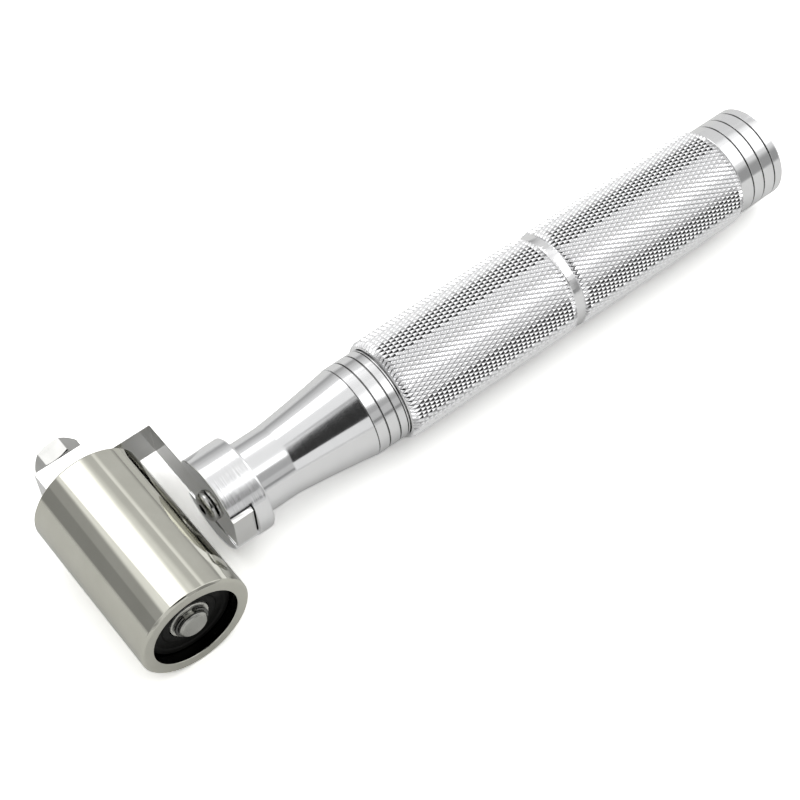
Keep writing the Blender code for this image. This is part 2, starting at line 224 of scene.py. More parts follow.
def lathe(profile, axis, segments=192, closed=True, centre_y=0.0):
    """A mesh turned around X or Y from (station, radius) points; an open profile ends on the axis."""
    mesh = bpy.data.meshes.new("turned")
    bm = bmesh.new()
    corners = []
    for station, radius in profile:
        point = (station, radius, 0.0) if axis == "X" else (radius, station, 0.0)
        corners.append(bm.verts.new(point))
    edges = [bm.edges.new(pair) for pair in zip(corners, corners[1:])]
    if closed:
        edges.append(bm.edges.new((corners[-1], corners[0])))
    turn_axis = (1.0, 0.0, 0.0) if axis == "X" else (0.0, 1.0, 0.0)
    bmesh.ops.spin(
        bm, geom=corners + edges, axis=turn_axis, cent=(0.0, 0.0, 0.0), angle=2.0 * math.pi, steps=segments
    )
    bmesh.ops.remove_doubles(bm, verts=bm.verts, dist=1e-4)
    bmesh.ops.recalc_face_normals(bm, faces=bm.faces)
    bmesh.ops.translate(bm, verts=bm.verts, vec=(0.0, centre_y, 0.0))
    bm.to_mesh(mesh)
    bm.free()
    return mesh


def cut_from(mesh, *cutters, ease=0.0):
    """The mesh with the cutters' shapes taken out of it, and its sharp edges eased by a width."""
    piece = bpy.data.objects.new("cut_piece", mesh)
    bpy.context.scene.collection.objects.link(piece)
    tools = []
    for cutter in cutters:
        tool = bpy.data.objects.new("cutter", cutter)
        bpy.context.scene.collection.objects.link(tool)
        tools.append(tool)
        step = piece.modifiers.new("cut", "BOOLEAN")
        step.operation = "DIFFERENCE"
        step.solver = "EXACT"
        step.object = tool
    if ease > 0.0:
        easing = piece.modifiers.new("ease", "BEVEL")
        easing.width = ease
        easing.segments = 2
        easing.angle_limit = math.radians(20.0)
    bpy.context.view_layer.update()
    evaluated = piece.evaluated_get(bpy.context.evaluated_depsgraph_get())
    result = bpy.data.meshes.new_from_object(evaluated)
    for made in (piece, *tools):
        bpy.data.objects.remove(made)
    return result


def bevelled(mesh, width, segments=3, degrees=50.0):
    """The mesh with its sharp edges rounded."""
    bm = bmesh.new()
    bm.from_mesh(mesh)
    limit = math.radians(degrees)
    sharp = [edge for edge in bm.edges if len(edge.link_faces) == 2 and edge.calc_face_angle() > limit]
    bmesh.ops.bevel(bm, geom=sharp, offset=width, segments=segments, profile=0.5, affect="EDGES")
    bm.to_mesh(mesh)
    bm.free()
    return mesh


def prism(outline, low, high, axis):
    """A mesh from an outline raised between two heights along an axis."""
    mesh = bpy.data.meshes.new("prism")
    bm = bmesh.new()
    corners = []
    for a, b in outline:
        point = {"X": (low, a, b), "Y": (a, low, b), "Z": (a, b, low)}[axis]
        corners.append(bm.verts.new(point))
    face = bm.faces.new(corners)
    raised = bmesh.ops.extrude_face_region(bm, geom=[face])
    moved = [item for item in raised["geom"] if isinstance(item, bmesh.types.BMVert)]
    shift = {"X": (high - low, 0, 0), "Y": (0, high - low, 0), "Z": (0, 0, high - low)}[axis]
    bmesh.ops.translate(bm, vec=shift, verts=moved)
    bmesh.ops.recalc_face_normals(bm, faces=bm.faces)
    bm.to_mesh(mesh)
    bm.free()
    return mesh


def shade(mesh, name, test):
    """Marks the points of a mesh that pass a test of their station along the handle and radius in it."""
    marks = mesh.attributes.new(name, "FLOAT", "POINT")
    for vert, mark in zip(mesh.vertices, marks.data):
        radius = math.hypot(vert.co.y - HANDLE_Y, vert.co.z)
        mark.value = 1.0 if test(vert.co.x, radius) else 0.0


def circle(radius, count, centre=(0.0, 0.0), turn=0.0):
    points = []
    for index in range(count):
        angle = turn + 2.0 * math.pi * index / count
        points.append((centre[0] + radius * math.cos(angle), centre[1] + radius * math.sin(angle)))
    return points


# ---------------------------------------------------------------- materials
# How fine the noises are, per metre: evenly spread ones, then the tool marks by their direction.
EVEN = (1.0, 1.0, 1.0)
METAL_PATCHES = 160.0
METAL_DENTS = 1800.0
RUBBER_PATCHES = 300.0
RUBBER_GRAIN = 5000.0
AROUND_HANDLE = (5200.0, 60.0, 60.0)
COARSE_MARKS = (2900.0, 90.0, 90.0)
AROUND_ROLLER = (45.0, 6500.0, 45.0)
ALONG_BRACKET = (90.0, 60.0, 3600.0)


def node(tree, kind, **values):
    made = tree.nodes.new(kind)
    for key, value in values.items():
        setattr(made, key, value)
    return made


def stretched_noise(tree, scale, stretch, detail=3.0, roughness=0.6):
    """Noise in the piece's own space, finer by the stretch factors along X, Y and Z."""
    place = node(tree, "ShaderNodeTexCoord")
    mapping = node(tree, "ShaderNodeMapping")
    mapping.inputs["Scale"].default_value = stretch
    noise = node(tree, "ShaderNodeTexNoise")
    noise.inputs["Scale"].default_value = scale
    noise.inputs["Detail"].default_value = detail
    noise.inputs["Roughness"].default_value = roughness
    tree.links.new(place.outputs["Object"], mapping.inputs["Vector"])
    tree.links.new(mapping.outputs["Vector"], noise.inputs["Vector"])
    return noise.outputs["Fac"]


def ranged(tree, source, low, high, from_low=0.3, from_high=0.7):
    scale = node(tree, "ShaderNodeMapRange")
    scale.inputs["From Min"].default_value = from_low
    scale.inputs["From Max"].default_value = from_high
    scale.inputs["To Min"].default_value = low
    scale.inputs["To Max"].default_value = high
    tree.links.new(source, scale.inputs["Value"])
    return scale.outputs["Result"]


def mixed_colour(tree, factor, first, second):
    mix = node(tree, "ShaderNodeMix", data_type="RGBA")
    tree.links.new(factor, mix.inputs[0])
    for socket, colour in ((mix.inputs[6], first), (mix.inputs[7], second)):
        if isinstance(colour, tuple):
            socket.default_value = (*colour, 1.0)
        else:
            tree.links.new(colour, socket)
    return mix.outputs[2]


def bumped(tree, height, strength, distance, before=None):
    bump = node(tree, "ShaderNodeBump")
    if isinstance(strength, float):
        bump.inputs["Strength"].default_value = strength
    else:
        tree.links.new(strength, bump.inputs["Strength"])
    bump.inputs["Distance"].default_value = distance
    tree.links.new(height, bump.inputs["Height"])
    if before is not None:
        tree.links.new(before, bump.inputs["Normal"])
    return bump.outputs["Normal"]


def marked(tree, name):
    return node(tree, "ShaderNodeAttribute", attribute_name=name).outputs["Fac"]


def metal(name, light, dark, roughness, streaks, streak_depth, groove=None, painted_shade_from=0.0, coarse=None):
    """A worked metal: fine streaks in one direction, small dents, and patches of duller surface.

    streaks gives the stretch of the tool marks along X, Y and Z. groove is a colour of painted shade,
    laid over the points marked "groove" by more than the threshold given after it, and coarse the depth
    of the heavier tool marks where the piece is marked "coarse".
    """
    made = bpy.data.materials.new(name)
    made.use_nodes = True
    tree = made.node_tree
    shader = tree.nodes["Principled BSDF"]
    shader.inputs["Metallic"].default_value = 1.0
    marks = stretched_noise(tree, 1.0, streaks, 4.0, 0.65)
    patches = stretched_noise(tree, METAL_PATCHES, EVEN, 3.0, 0.55)
    pits = stretched_noise(tree, METAL_DENTS, EVEN, 2.0, 0.5)
    colour = mixed_colour(tree, ranged(tree, patches, 0.0, 1.0), light, dark)
    # Painted shade: points marked "groove" are darkened towards the groove colour.
    if groove is not None:
        share = ranged(tree, marked(tree, "groove"), 0.0, 1.0, painted_shade_from, 1.0)
        colour = mixed_colour(tree, share, colour, groove)
    tree.links.new(colour, shader.inputs["Base Color"])
    low, high = roughness
    blend = node(tree, "ShaderNodeMath", operation="MULTIPLY_ADD")
    tree.links.new(ranged(tree, marks, 0.0, 0.5), blend.inputs[0])
    blend.inputs[1].default_value = 1.0
    tree.links.new(ranged(tree, patches, 0.0, 0.5), blend.inputs[2])
    tree.links.new(ranged(tree, blend.outputs["Value"], low, high, 0.0, 1.0), shader.inputs["Roughness"])
    surface = bumped(tree, marks, 1.0, streak_depth)
    surface = bumped(tree, pits, 0.25, 0.4 * streak_depth, surface)
    if coarse is not None:
        ridges = stretched_noise(tree, 1.0, COARSE_MARKS, 3.0, 0.6)
        surface = bumped(tree, ridges, marked(tree, "coarse"), coarse, surface)
    tree.links.new(surface, shader.inputs["Normal"])
    return made


def rubber(name, light, dark):
    made = bpy.data.materials.new(name)
    made.use_nodes = True
    tree = made.node_tree
    shader = tree.nodes["Principled BSDF"]
    shader.inputs["Specular IOR Level"].default_value = 0.15
    patches = stretched_noise(tree, RUBBER_PATCHES, EVEN)
    grain = stretched_noise(tree, RUBBER_GRAIN, EVEN)
    colour = mixed_colour(tree, ranged(tree, patches, 0.0, 1.0), light, dark)
    tree.links.new(colour, shader.inputs["Base Color"])
    tree.links.new(ranged(tree, patches, 0.42, 0.6), shader.inputs["Roughness"])
    tree.links.new(bumped(tree, grain, 0.4, 3e-5), shader.inputs["Normal"])
    return made


# Painted shade: the groove colour darkens the bore walls inside the roller's open end.
ground_steel = metal(
    "ground_steel", (0.64, 0.635, 0.57), (0.60, 0.595, 0.53), (0.04, 0.09), AROUND_ROLLER, 6e-7,
    groove=(0.03, 0.03, 0.027),
)
race_steel = metal("race_steel", (0.62, 0.62, 0.61), (0.55, 0.55, 0.54), (0.15, 0.25), AROUND_ROLLER, 2e-6)
ball_steel = metal("ball_steel", (0.74, 0.74, 0.74), (0.7, 0.7, 0.7), (0.05, 0.1), AROUND_ROLLER, 5e-7)
cage_steel = metal("cage_steel", (0.47, 0.47, 0.46), (0.4, 0.4, 0.39), (0.3, 0.45), AROUND_ROLLER, 4e-6)
axle_steel = metal("axle_steel", (0.56, 0.56, 0.53), (0.44, 0.44, 0.41), (0.2, 0.34), AROUND_ROLLER, 4e-6)
washer_steel = metal("washer_steel", (0.8, 0.8, 0.76), (0.68, 0.68, 0.64), (0.5, 0.65), AROUND_ROLLER, 4e-6)
clip_steel = metal("clip_steel", (0.2, 0.2, 0.19), (0.1, 0.1, 0.1), (0.12, 0.25), AROUND_ROLLER, 4e-6)
nut_steel = metal("nut_steel", (0.5, 0.5, 0.49), (0.42, 0.42, 0.41), (0.12, 0.24), AROUND_ROLLER, 3e-6)
bracket_steel = metal(
    "bracket_steel", (0.88, 0.88, 0.875), (0.82, 0.82, 0.81), (0.08, 0.16), ALONG_BRACKET, 2e-6
)
screw_steel = metal(
    "screw_steel", (0.55, 0.55, 0.54), (0.42, 0.42, 0.41), (0.05, 0.12), AROUND_HANDLE, 3e-6
)
# Painted shade: the groove colour darkens the floors of the neck's and the cap's grooves.
turned_aluminium = metal(
    "turned_aluminium", (0.91, 0.912, 0.92), (0.87, 0.873, 0.885), (0.07, 0.15), AROUND_HANDLE, 2.2e-6,
    groove=(0.2, 0.2, 0.2), coarse=45e-6,
)
# Painted shade: the groove colour darkens the knurling's pits where its diamonds meet.
knurled_aluminium = metal(
    "knurled_aluminium", (0.94, 0.94, 0.95), (0.9, 0.9, 0.912), (0.06, 0.12), AROUND_HANDLE, 3e-6,
    groove=(0.5, 0.5, 0.51), painted_shade_from=0.7,
)
seal_rubber = rubber("seal_rubber", (0.005, 0.005, 0.0045), (0.003, 0.003, 0.0028))


# ---------------------------------------------------------------- roller and what shows in its open end
def make_roller():
    half = [
        (SEAT_DEPTH, CORE_RADIUS, 0.0),
        (SEAT_DEPTH, SEAT_RADIUS, 0.0),
        (MOUTH_DEPTH, SEAT_RADIUS, 0.0),
        (MOUTH_DEPTH, MOUTH_RADIUS, 0.0),
        (0.0, MOUTH_RADIUS, 0.2),
        (0.0, ROLLER_RADIUS - ROLLER_CHAMFER, 0.08),
        (ROLLER_CHAMFER, ROLLER_RADIUS, 0.08),
    ]
    mirror = [(ROLLER_LENGTH - station, radius, cut) for station, radius, cut in reversed(half)]
    mesh = lathe(rounded(half + mirror, 4), "Y", 256)
    # Painted shade: the bore walls inside the roller are marked "groove" and coloured near-black.
    marks = mesh.attributes.new("groove", "FLOAT", "POINT")
    for vert, mark in zip(mesh.vertices, marks.data):
        mark.value = 1.0 if math.hypot(vert.co.x, vert.co.z) < MOUTH_RADIUS + 0.01 else 0.0
    add_piece("roller_tube", mesh, "roller", ground_steel, ["roller_shell"])


def make_seal():
    inner, outer = SEAL_RADII
    dish_inner, dish_outer = SEAL_DISH
    corners = [
        (SEAL_END, inner, 0.0),
        (SEAL_START, inner, 0.1),
        (SEAL_START, dish_inner, 0.15),
        (SEAL_START + SEAL_DISH_DEPTH, dish_inner + SEAL_DISH_SLOPE, 0.15),
        (SEAL_START + SEAL_DISH_DEPTH, dish_outer - SEAL_DISH_SLOPE, 0.15),
        (SEAL_START, dish_outer, 0.15),
        (SEAL_START, outer, 0.1),
        (SEAL_END, outer, 0.0),
    ]
    mesh = lathe(rounded(corners), "Y", 160)
    add_piece("front_seal", mesh, "roller", seal_rubber, ["front_dust_seal"])


def make_axle():
    """The axle with its clip groove, and rings like a thread's ridges on its tail."""
    groove_start, groove_end = CLIP_GROOVE
    corners = [
        (AXLE_START, 0.0, 0.0),
        (AXLE_START, AXLE_RADIUS - AXLE_CHAMFER, 0.06),
        (AXLE_START + AXLE_CHAMFER, AXLE_RADIUS, 0.06),
        (groove_start, AXLE_RADIUS, 0.05),
        (groove_start, CLIP_GROOVE_RADIUS, 0.0),
        (groove_end, CLIP_GROOVE_RADIUS, 0.0),
        (groove_end, AXLE_RADIUS, 0.08),
        (AXLE_SHOULDER, AXLE_RADIUS, 0.2),
        (AXLE_SHOULDER, TAIL_RADIUS - THREAD_DEPTH, 0.0),
    ]
    thread_floor = TAIL_RADIUS - THREAD_DEPTH
    turns = int((TAIL_END - AXLE_SHOULDER - THREAD_RUNOUT) / THREAD_PITCH)
    thread_start = TAIL_END - THREAD_RUNOUT - turns * THREAD_PITCH
    profile = rounded(corners)
    profile.append(Vector((thread_start, thread_floor)))
    for step in range(turns * THREAD_STEPS):
        share = (step % THREAD_STEPS) / THREAD_STEPS
        height = min(1.0, THREAD_STEEPNESS * (1.0 - abs(2.0 * share - 1.0)))
        station = thread_start + (step + 0.5) * THREAD_PITCH / THREAD_STEPS
        profile.append(Vector((station, thread_floor + THREAD_DEPTH * height)))
    length, drop = TAIL_CHAMFER
    profile.append(Vector((TAIL_END - length, thread_floor)))
    profile.append(Vector((TAIL_END, thread_floor - drop)))
    profile.append(Vector((TAIL_END, 0.0)))
    mesh = lathe(profile, "Y", 96, closed=False)
    add_piece("axle_pin", mesh, "frame", axle_steel, ["axle"])


def make_circlip():
    """A snap ring, rounded at its edges, with an opening at the top."""
    inner, outer = CLIP_RADII
    start, end = CLIP
    corners = [(start, inner, 0.1), (start, outer, 0.18), (end, outer, 0.18), (end, inner, 0.1)]
    half = math.radians(CLIP_OPENING / 2)
    wedge_reach = 3.0 * outer
    wedge = prism(
        [
            (0.0, 0.0),
            (wedge_reach * math.sin(half), wedge_reach * math.cos(half)),
            (-wedge_reach * math.sin(half), wedge_reach * math.cos(half)),
        ],
        start - CLEAR,
        end + CLEAR,
        "Y",
    )
    mesh = cut_from(lathe(rounded(corners), "Y", 128), wedge)
    add_piece("snap_ring", mesh, "frame", clip_steel, ["circlip"])


def make_washer():
    inner, outer = WASHER_RADII
    start, end = WASHER
    corners = [(end, inner, 0.0), (start, inner, 0.12), (start, outer, 0.2), (end, outer, 0.1)]
    mesh = lathe(rounded(corners), "Y", 128)
    add_piece("washer", mesh, "frame", washer_steel, ["front_washer"])


# ---------------------------------------------------------------- bracket, nut and screw
def make_bracket():
    outline = [
        (PLATE_END, PLATE_INNER),
        (BAR_INNER, PLATE_INNER),
        (BAR_INNER, BAR_TIP),
        (BAR_OUTER, BAR_TIP),
        (BAR_OUTER, PLATE_OUTER),
        (PLATE_END, PLATE_OUTER),
    ]
    solid = bevelled(prism(outline, -0.5 * BAR_HEIGHT, 0.5 * BAR_HEIGHT, "Z"), BRACKET_EDGE)
    axle_hole = prism(circle(AXLE_HOLE, 64), PLATE_INNER - CLEAR, PLATE_OUTER + CLEAR, "Y")
    screw_hole = prism(circle(SCREW_HOLE, 64, (HANDLE_Y, 0.0)), BAR_INNER - CLEAR, BAR_OUTER + CLEAR, "X")
    top = 0.5 * BAR_HEIGHT
    length, drop = TIP_SLOPE
    slopes = []
    for side in (1.0, -1.0):
        wedge = [
            (BAR_TIP - length, side * (top - 2.0 * drop)),
            (BAR_TIP + length, side * top),
            (BAR_TIP + length, side * (top + CLEAR)),
            (BAR_TIP - length, side * (top + CLEAR)),
        ]
        slopes.append(prism(wedge, BAR_INNER - CLEAR, BAR_OUTER + CLEAR, "X"))
    mesh = cut_from(solid, axle_hole, screw_hole, *slopes)
    add_piece("l_bracket", mesh, "frame", bracket_steel, ["bracket"])


def make_nut():
    """A hexagon nut with both faces turned down at 30 degrees and a chamfered bore."""
    corner = NUT_ACROSS_FLATS / math.sqrt(3.0)
    body = prism(circle(corner, 6, turn=math.radians(NUT_TURN)), NUT_START, NUT_END, "Y")
    clear = corner + 0.5 * CLEAR
    drop = (clear - NUT_FACE_RADIUS) * math.tan(math.radians(30.0))
    cones = []
    for face, inward in ((NUT_START, 1.0), (NUT_END, -1.0)):
        cone = [
            Vector((face, NUT_FACE_RADIUS)),
            Vector((face - CLEAR * inward, NUT_FACE_RADIUS)),
            Vector((face - CLEAR * inward, clear + CLEAR)),
            Vector((face + inward * drop, clear)),
        ]
        cones.append(lathe(cone, "Y", 128))
    past = 0.5 * CLEAR
    mouth = NUT_BORE + NUT_BORE_CHAMFER + past
    bore = [
        Vector((NUT_START - past, 0.0)),
        Vector((NUT_START - past, mouth)),
        Vector((NUT_START + NUT_BORE_CHAMFER, NUT_BORE)),
        Vector((NUT_END - NUT_BORE_CHAMFER, NUT_BORE)),
        Vector((NUT_END + past, mouth)),
        Vector((NUT_END + past, 0.0)),
    ]
    mesh = cut_from(body, *cones, lathe(bore, "Y", 96, closed=False), ease=NUT_EDGE)
    add_piece("hex_nut", mesh, "frame", nut_steel, ["axle_nut"])


def make_screw():
    corners = [
        (SCREW_FACE, 0.0, 0.0),
        *[(SCREW_FACE + away, SCREW_HEAD_RADIUS - drop, cut) for away, drop, cut in SCREW_CROWN],
        (SCREW_SEAT, SCREW_HEAD_RADIUS, 0.12),
        (SCREW_SEAT, SCREW_SHANK_RADIUS, 0.1),
        (SCREW_TIP, SCREW_SHANK_RADIUS, 0.5),
        (SCREW_TIP, 0.0, 0.0),
    ]
    head = lathe(rounded(corners, 4), "X", 128, closed=False, centre_y=HANDLE_Y)
    corner = SOCKET_ACROSS_FLATS / math.sqrt(3.0)
    socket = prism(circle(corner, 6, (HANDLE_Y, 0.0)), SCREW_FACE - CLEAR, SCREW_FACE + SOCKET_DEPTH, "X")
    mesh = cut_from(head, socket)
    add_piece("button_screw", mesh, "frame", screw_steel, ["bracket_screw"])


# ---------------------------------------------------------------- handle
def groove(station, radius, cut=0.05):
    half = 0.5 * GROOVE_WIDTH
    return [
        (station - half, radius, cut),
        (station - 0.7 * half, radius - GROOVE_DEPTH, 0.05),
        (station + 0.7 * half, radius - GROOVE_DEPTH, 0.05),
        (station + half, radius, cut),
    ]


def flare(steps=28):
    """The concave flare from the straight neck to the first ring."""
    end = RINGS[0]
    rise = RING_RADIUS - FLARE_DROP - NECK_RADIUS
    points = []
    for step in range(steps + 1):
        share = step / steps
        swell = FLARE_LEAN * share + (1.0 - FLARE_LEAN) * share * share
        points.append((FLARE_START + (end - FLARE_START) * share, NECK_RADIUS + rise * swell, 0.0))
    return points


def slot_outline():
    """The slot across the collar, close over the bar and opened out where it meets the collar's sides."""
    reach = COLLAR_RADIUS + 2.0 * CLEAR
    lip = math.sqrt(COLLAR_RADIUS**2 - SLOT_MOUTH_HALF**2)
    opened = SLOT_MOUTH_HALF + (reach - lip) * (SLOT_MOUTH_HALF - SLOT_HALF) / SLOT_MOUTH_DEPTH
    narrow = lip - SLOT_MOUTH_DEPTH
    quarter = [(reach, opened), (narrow, SLOT_HALF)]
    upper = quarter + [(-y, z) for y, z in reversed(quarter)]
    lower = [(y, -z) for y, z in reversed(upper)]
    return [(HANDLE_Y + y, z) for y, z in upper + lower]


def make_neck():
    """The slotted collar, the neck, the flare and the rings, turned in one piece."""
    front, middle, rear = RINGS
    length, drop = RING_STEP
    groove_start, groove_end = (NECK_END - away for away in NECK_GROOVE)
    groove_floor = RING_RADIUS - NECK_GROOVE_DEPTH
    step_length, step_drop = NECK_STEP
    spigot_end = NECK_END + SPIGOT_LENGTH
    corners = [
        (COLLAR_START, TAPPED_RADIUS, 0.0),
        (COLLAR_START, COLLAR_RADIUS, 0.3),
        (COLLAR_END, COLLAR_RADIUS, 0.55),
        (COLLAR_END, NECK_RADIUS, 0.25),
        *flare(),
        (front, RING_RADIUS - drop, 0.05),
        (front + length, RING_RADIUS - drop, 0.05),
        (front + length + SIDE, RING_RADIUS, 0.04),
        *groove(middle, RING_RADIUS),
        *groove(rear, RING_RADIUS),
        (groove_start, RING_RADIUS, 0.04),
        (groove_start + SIDE, groove_floor, 0.0),
        (groove_end - SIDE, groove_floor, 0.0),
        (groove_end, RING_RADIUS, 0.04),
        (NECK_END, RING_RADIUS, 0.05),
        (NECK_END, RING_RADIUS - step_drop, 0.0),
        (NECK_END + step_length, RING_RADIUS - step_drop, 0.0),
        (NECK_END + step_length, SPIGOT_RADIUS, 0.0),
        (spigot_end, SPIGOT_RADIUS, 0.3),
        (spigot_end, TAPPED_RADIUS, 0.0),
    ]
    body = lathe(rounded(corners), "X", 192, centre_y=HANDLE_Y)
    slot = prism(slot_outline(), COLLAR_START - 2.0 * CLEAR, SLOT_FLOOR, "X")
    mesh = cut_from(body, slot)
    # Painted shade: the floors of the grooves are marked "groove" to be coloured darker.
    low, high = (RING_RADIUS - depth for depth in RING_FLOORS)
    shade(mesh, "groove", lambda x, radius: x > front - CLEAR and low < radius < high)
    shade(mesh, "coarse", lambda x, radius: x < COLLAR_END - 2.0 * NEAR)
    add_piece("turned_neck", mesh, "frame", turned_aluminium, ["handle_neck"])


def make_cap():
    grooves = []
    for station in CAP_GROOVES:
        grooves.extend(groove(station, CAP_RADIUS))
    start, end = CAP
    corners = [
        (start - SPIGOT_LENGTH, 0.0, 0.0),
        (start - SPIGOT_LENGTH, SPIGOT_RADIUS, 0.3),
        (start, SPIGOT_RADIUS, 0.0),
        (start, CAP_RADIUS, 0.2),
        *grooves,
        (end, CAP_RADIUS, 0.6),
        (end, 0.0, 0.0),
    ]
    mesh = lathe(rounded(corners, 4), "X", 192, closed=False, centre_y=HANDLE_Y)
    # Painted shade: the floors of the cap's grooves are marked "groove" to be coloured darker.
    bottom = CAP_RADIUS - GROOVE_DEPTH
    shade(mesh, "groove", lambda x, radius: start < x < end and bottom - NEAR < radius < bottom + NEAR)
    add_piece("butt_cap", mesh, "frame", turned_aluminium, ["end_cap"])


class GripMesh:
    """Builds the grip ring by ring: every ring has the same angles, so rings join without gaps."""

    def __init__(self):
        self.bm = bmesh.new()
        # Painted shade: each point's depth below the crests is marked "groove", so the pits are coloured darker.
        self.marks = self.bm.verts.layers.float.new("groove")
        self.pitch = 2.0 * math.pi / KNURL_AROUND
        inner = [scale for scale, _ in KNURL_STEPS[1:]]
        offsets = [0.0]
        offsets.extend(0.5 - 0.5 * scale for scale in inner)
        offsets.extend(0.5 + 0.5 * scale for scale in reversed(inner))
        self.angles = [(index + offset) * self.pitch for index in range(KNURL_AROUND) for offset in offsets]

    def point(self, station, radius, angle, groove):
        across = HANDLE_Y + radius * math.cos(angle)
        made = self.bm.verts.new((station, across, radius * math.sin(angle)))
        made[self.marks] = groove
        return made

    def ring(self, station, radius):
        return [self.point(station, radius, angle, 0.0) for angle in self.angles]

    def join(self, first, second):
        count = len(first)
        for index in range(count):
            after = (index + 1) % count
            self.bm.faces.new((first[index], first[after], second[after], second[index]))

    def knurl(self, start, end, drops):
        """A knurled length, rounded off by a drop at each end. It gives its first and last rings."""
        rows = round((end - start) / KNURL_ROW)
        half = (end - start) / (2 * rows)
        crossings = {}
        edges = {0: {}, 2 * rows: {}}

        def crest(station):
            radius = GRIP_RADIUS
            for away, drop in zip((station - start, end - station), drops):
                share = max(0.0, 1.0 - away / KNURL_END)
                radius -= drop * share * share
            return radius

        def crossing(row, turn):
            key = (row, turn % (2 * KNURL_AROUND))
            if key not in crossings:
                station = start + row * half
                made = self.point(station, crest(station) - KNURL_DEPTH, 0.5 * key[1] * self.pitch, 1.0)
                crossings[key] = made
                if row in edges:
                    edges[row][key[1] / 2] = made
            return crossings[key]

        for row in range(2 * rows + 1):
            for index in range(KNURL_AROUND):
                turn = 2 * index + (1 if row % 2 == 0 else 0)
                self.diamond(start, half, row, turn, 2 * rows, crest, crossing, edges)
        return [[edges[row][key] for key in sorted(edges[row])] for row in (0, 2 * rows)]

    def diamond(self, start, half, row, turn, last, crest, crossing, edges):
        """One raised diamond, or half of one at the end of a length."""
        station = start + row * half
        sides = []
        if row > 0:
            sides.append((-1, 0))
        sides.append((0, 1))
        if row < last:
            sides.append((1, 0))
        sides.append((0, -1))
        rings = []
        for scale, height in KNURL_STEPS:
            ring = []
            for along, around in sides:
                if scale == 1.0:
                    ring.append(crossing(row + along, turn + around))
                    continue
                here = station + along * scale * half
                radius = crest(here) - KNURL_DEPTH * (1.0 - height)
                position = 0.5 * (turn + around * scale)
                made = self.point(here, radius, position * self.pitch, 1.0 - height)
                ring.append(made)
                if row in edges and around != 0:
                    edges[row][position % KNURL_AROUND] = made
            rings.append(ring)
        closed = len(sides) == 4
        for outer, inner in zip(rings, rings[1:]):
            for index in range(len(sides)):
                if not closed and sides[index][1] != 0 and sides[(index + 1) % 3][1] != 0:
                    continue
                after = (index + 1) % len(sides)
                self.bm.faces.new((outer[index], outer[after], inner[after], inner[index]))
        self.bm.faces.new(rings[-1])

    def finish(self):
        bmesh.ops.recalc_face_normals(self.bm, faces=self.bm.faces)
        mesh = bpy.data.meshes.new("grip")
        self.bm.to_mesh(mesh)
        self.bm.free()
        return mesh


def make_grip():
    start, end = GRIP
    band_start, band_end = BAND
    front_floor = GRIP_RADIUS - KNURL_FRONT_DROP - KNURL_DEPTH
    floor = GRIP_RADIUS - KNURL_DROP - KNURL_DEPTH
    band_edge = [(0.12, floor), (0.25, BAND_RADIUS - 0.05), (0.4, BAND_RADIUS)]
    grip = GripMesh()
    rings = [
        grip.ring(end, GRIP_BORE),
        grip.ring(start, GRIP_BORE),
        grip.ring(start, front_floor - GRIP_LIP),
        grip.ring(start + GRIP_LIP, front_floor),
    ]
    knurled = [len(rings)]
    rings.extend(grip.knurl(start + 2.0 * GRIP_LIP, band_start, (KNURL_FRONT_DROP, KNURL_DROP)))
    rings.extend(grip.ring(band_start + inset, radius) for inset, radius in band_edge)
    rings.extend(grip.ring(band_end - inset, radius) for inset, radius in reversed(band_edge))
    knurled.append(len(rings))
    rings.extend(grip.knurl(band_end, end - 2.0 * GRIP_LIP, (KNURL_DROP, KNURL_DROP)))
    rings.append(grip.ring(end - GRIP_LIP, floor))
    rings.append(grip.ring(end, floor - GRIP_LIP))
    for index in range(len(rings)):
        if index not in knurled:
            grip.join(rings[index], rings[(index + 1) % len(rings)])
    add_piece(
        "knurled_grip",
        grip.finish(),
        "frame",
        knurled_aluminium,
        ["grip_tube"],
        crease=KNURL_CREASE,
    )


make_roller()
make_seal()
make_axle()
make_circlip()
make_washer()
make_bracket()
make_nut()
make_screw()
make_neck()
make_grip()
make_cap()

# The bearings and sleeves behind the seals keep their CAD shape.
BALLS = 7
KEPT = {
    race_steel: ("front_inner_race", "front_outer_race", "rear_inner_race", "rear_outer_race"),
    cage_steel: ("front_cage", "rear_cage"),
    seal_rubber: ("rear_dust_seal",),
    axle_steel: ("race_spacer", "rear_spacer"),
    ball_steel: [f"{side}_ball_{index}" for side in ("front", "rear") for index in range(1, BALLS + 1)],
}
for finish, names in KEPT.items():
    for name in names:
        mesh = frame["nodes"][name].data
        mesh.materials.clear()
        mesh.materials.append(finish)


# ---------------------------------------------------------------- camera
# The photograph's viewpoint, in millimetres from the floor under the roller's open end, the directions
# of its view and of its right side, and its focal length on a 36 mm sensor.
CAMERA_PLACE = (-69.36, -184.97, 364.16)
CAMERA_LOOK = (0.32209, 0.47542, -0.81868)
CAMERA_RIGHT = (0.78829, -0.61357, -0.04618)
CAMERA_LENS = 85.354


def make_camera():
    """The camera, upright to its own right side."""
    look = Vector(CAMERA_LOOK).normalized()
    right = Vector(CAMERA_RIGHT)
    right = (right - look * right.dot(look)).normalized()
    up = right.cross(look)
    data = bpy.data.cameras.new("camera")
    data.sensor_width = 36.0
    data.lens = CAMERA_LENS
    data.clip_start = 0.01
    data.clip_end = 20.0
    camera = bpy.data.objects.new("camera", data)
    bpy.context.scene.collection.objects.link(camera)
    turn = Matrix((right, up, -look)).transposed().to_4x4()
    under_roller = Vector((origin.x, origin.y, 0.0))
    camera.matrix_world = Matrix.Translation(Vector(CAMERA_PLACE) * MM + under_roller) @ turn
    bpy.context.scene.camera = camera


# ---------------------------------------------------------------- floor and studio light
FLOOR_SIZE = 4.0
FLOOR_TINT = (0.78, 0.78, 0.77)
FLOOR_SEEN = (1.95, 1.95, 1.93)


